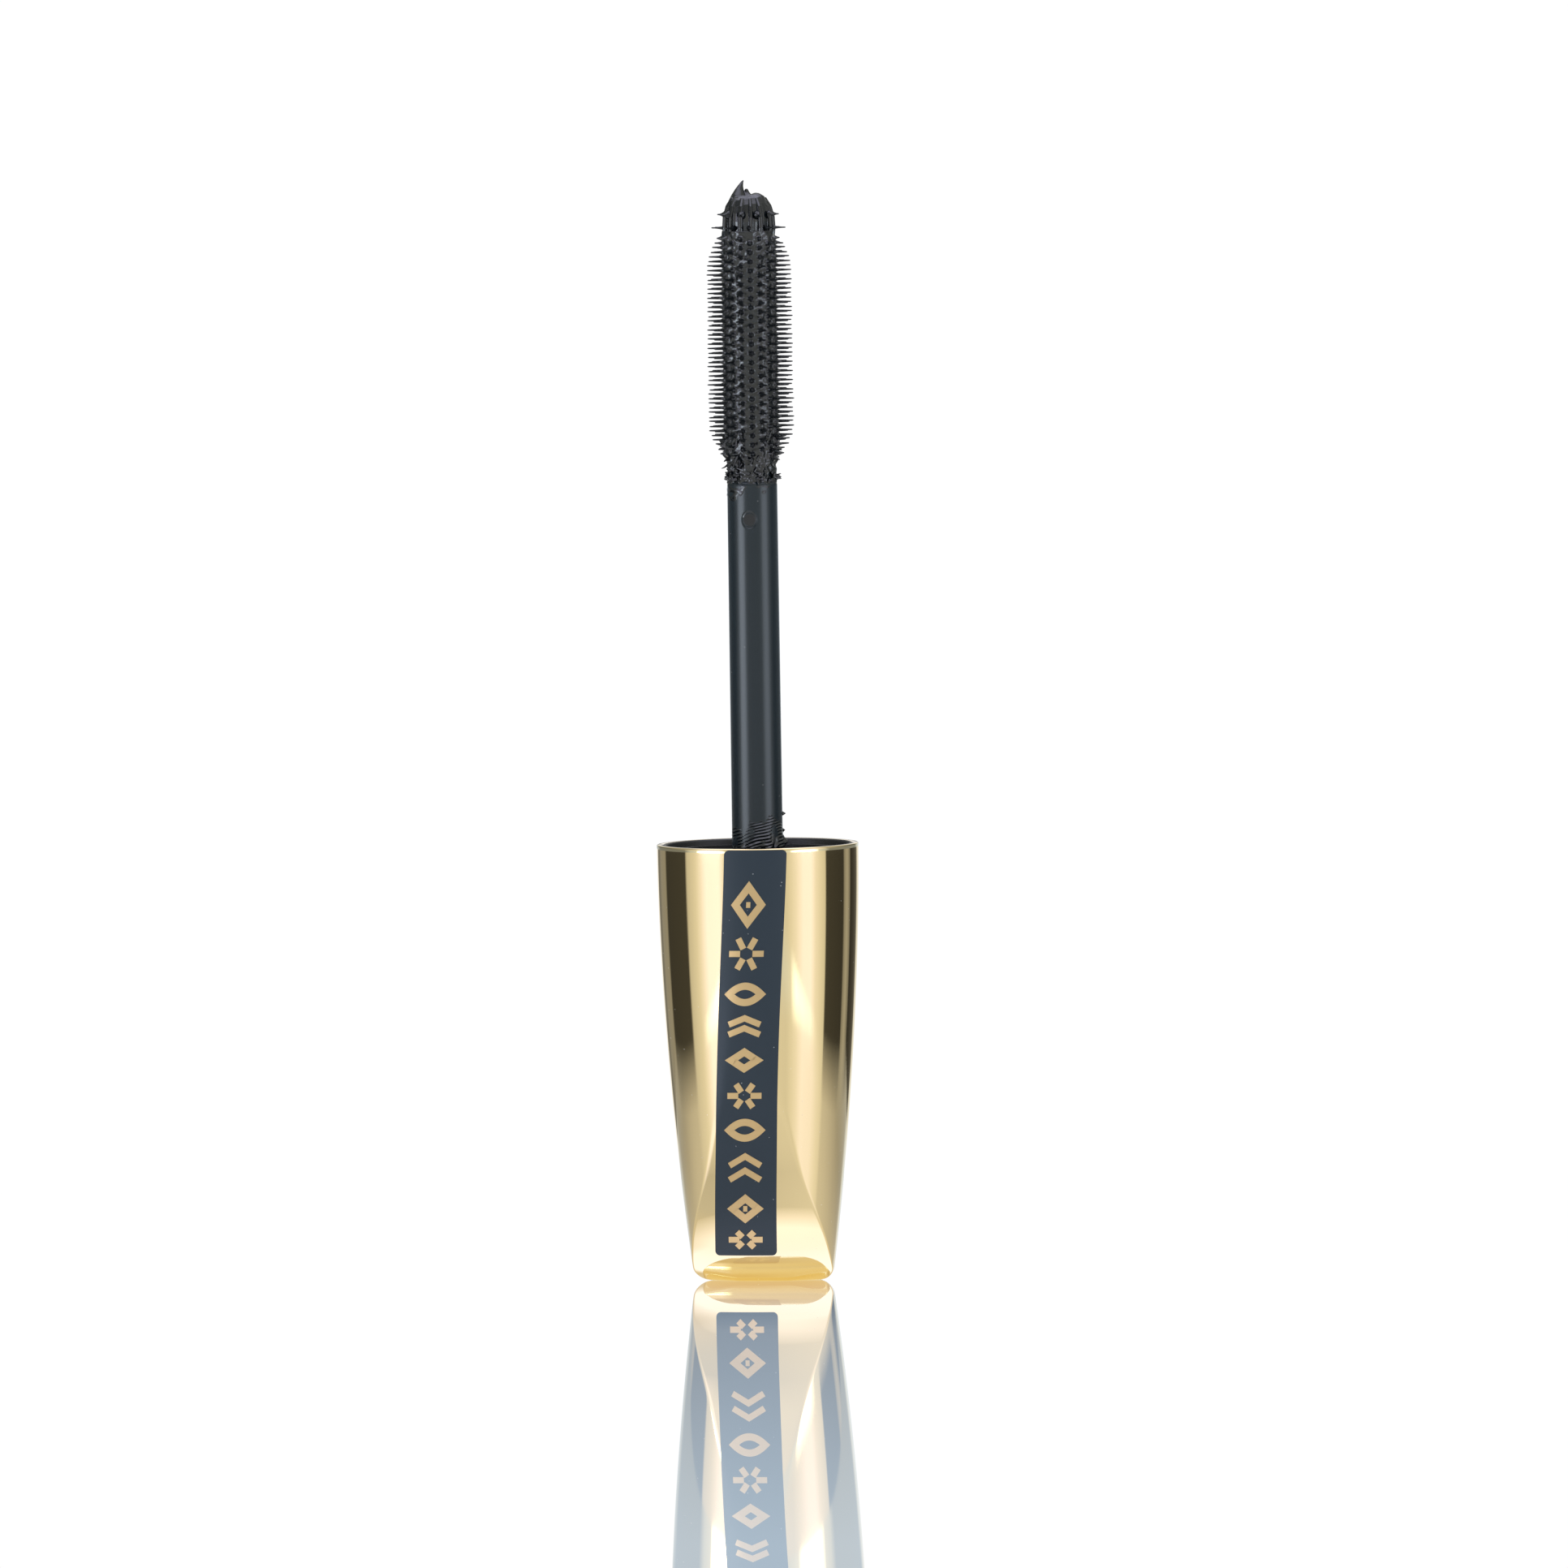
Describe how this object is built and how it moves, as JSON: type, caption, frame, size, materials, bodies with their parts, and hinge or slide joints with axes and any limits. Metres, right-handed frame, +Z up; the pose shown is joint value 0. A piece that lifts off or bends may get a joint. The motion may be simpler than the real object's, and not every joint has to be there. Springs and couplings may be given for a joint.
{
  "type": "mascara applicator",
  "caption": "Mascara applicator: metallised cap with a slanted label face, threaded inner cap, straight wand and a moulded bristle brush loaded with formula.",
  "frame": {"origin": "on the wand's axis at the level the cap stands on", "axes": "+Z up along the wand, -Y out of the slanted label face, +X to the right of that face"},
  "size_m": [0.0192, 0.0193, 0.1049],
  "materials": {
    "gold_metallising": "vacuum-metallised gold over moulded plastic, mirror bright",
    "weight_steel": "turned steel, plated",
    "black_liner": "moulded black plastic, satin",
    "gasket_foam": "soft white sealing wad",
    "black_wand": "moulded black plastic, semi-gloss",
    "black_core": "moulded black plastic",
    "black_elastomer": "moulded elastomer, wet",
    "navy_film": "satin printed film",
    "black_formula": "wet glossy paste"
  },
  "bodies": {
    "root": {"cap_shell": "gold_metallising", "cap_weight": "weight_steel", "inner_cap": "black_liner", "neck_gasket": "gasket_foam", "wand_stem": "black_wand", "brush_core": "black_core", "bristle_sleeve": "black_elastomer", "front_label": "navy_film", "formula_load": "black_formula"}
  },
  "joints": []
}
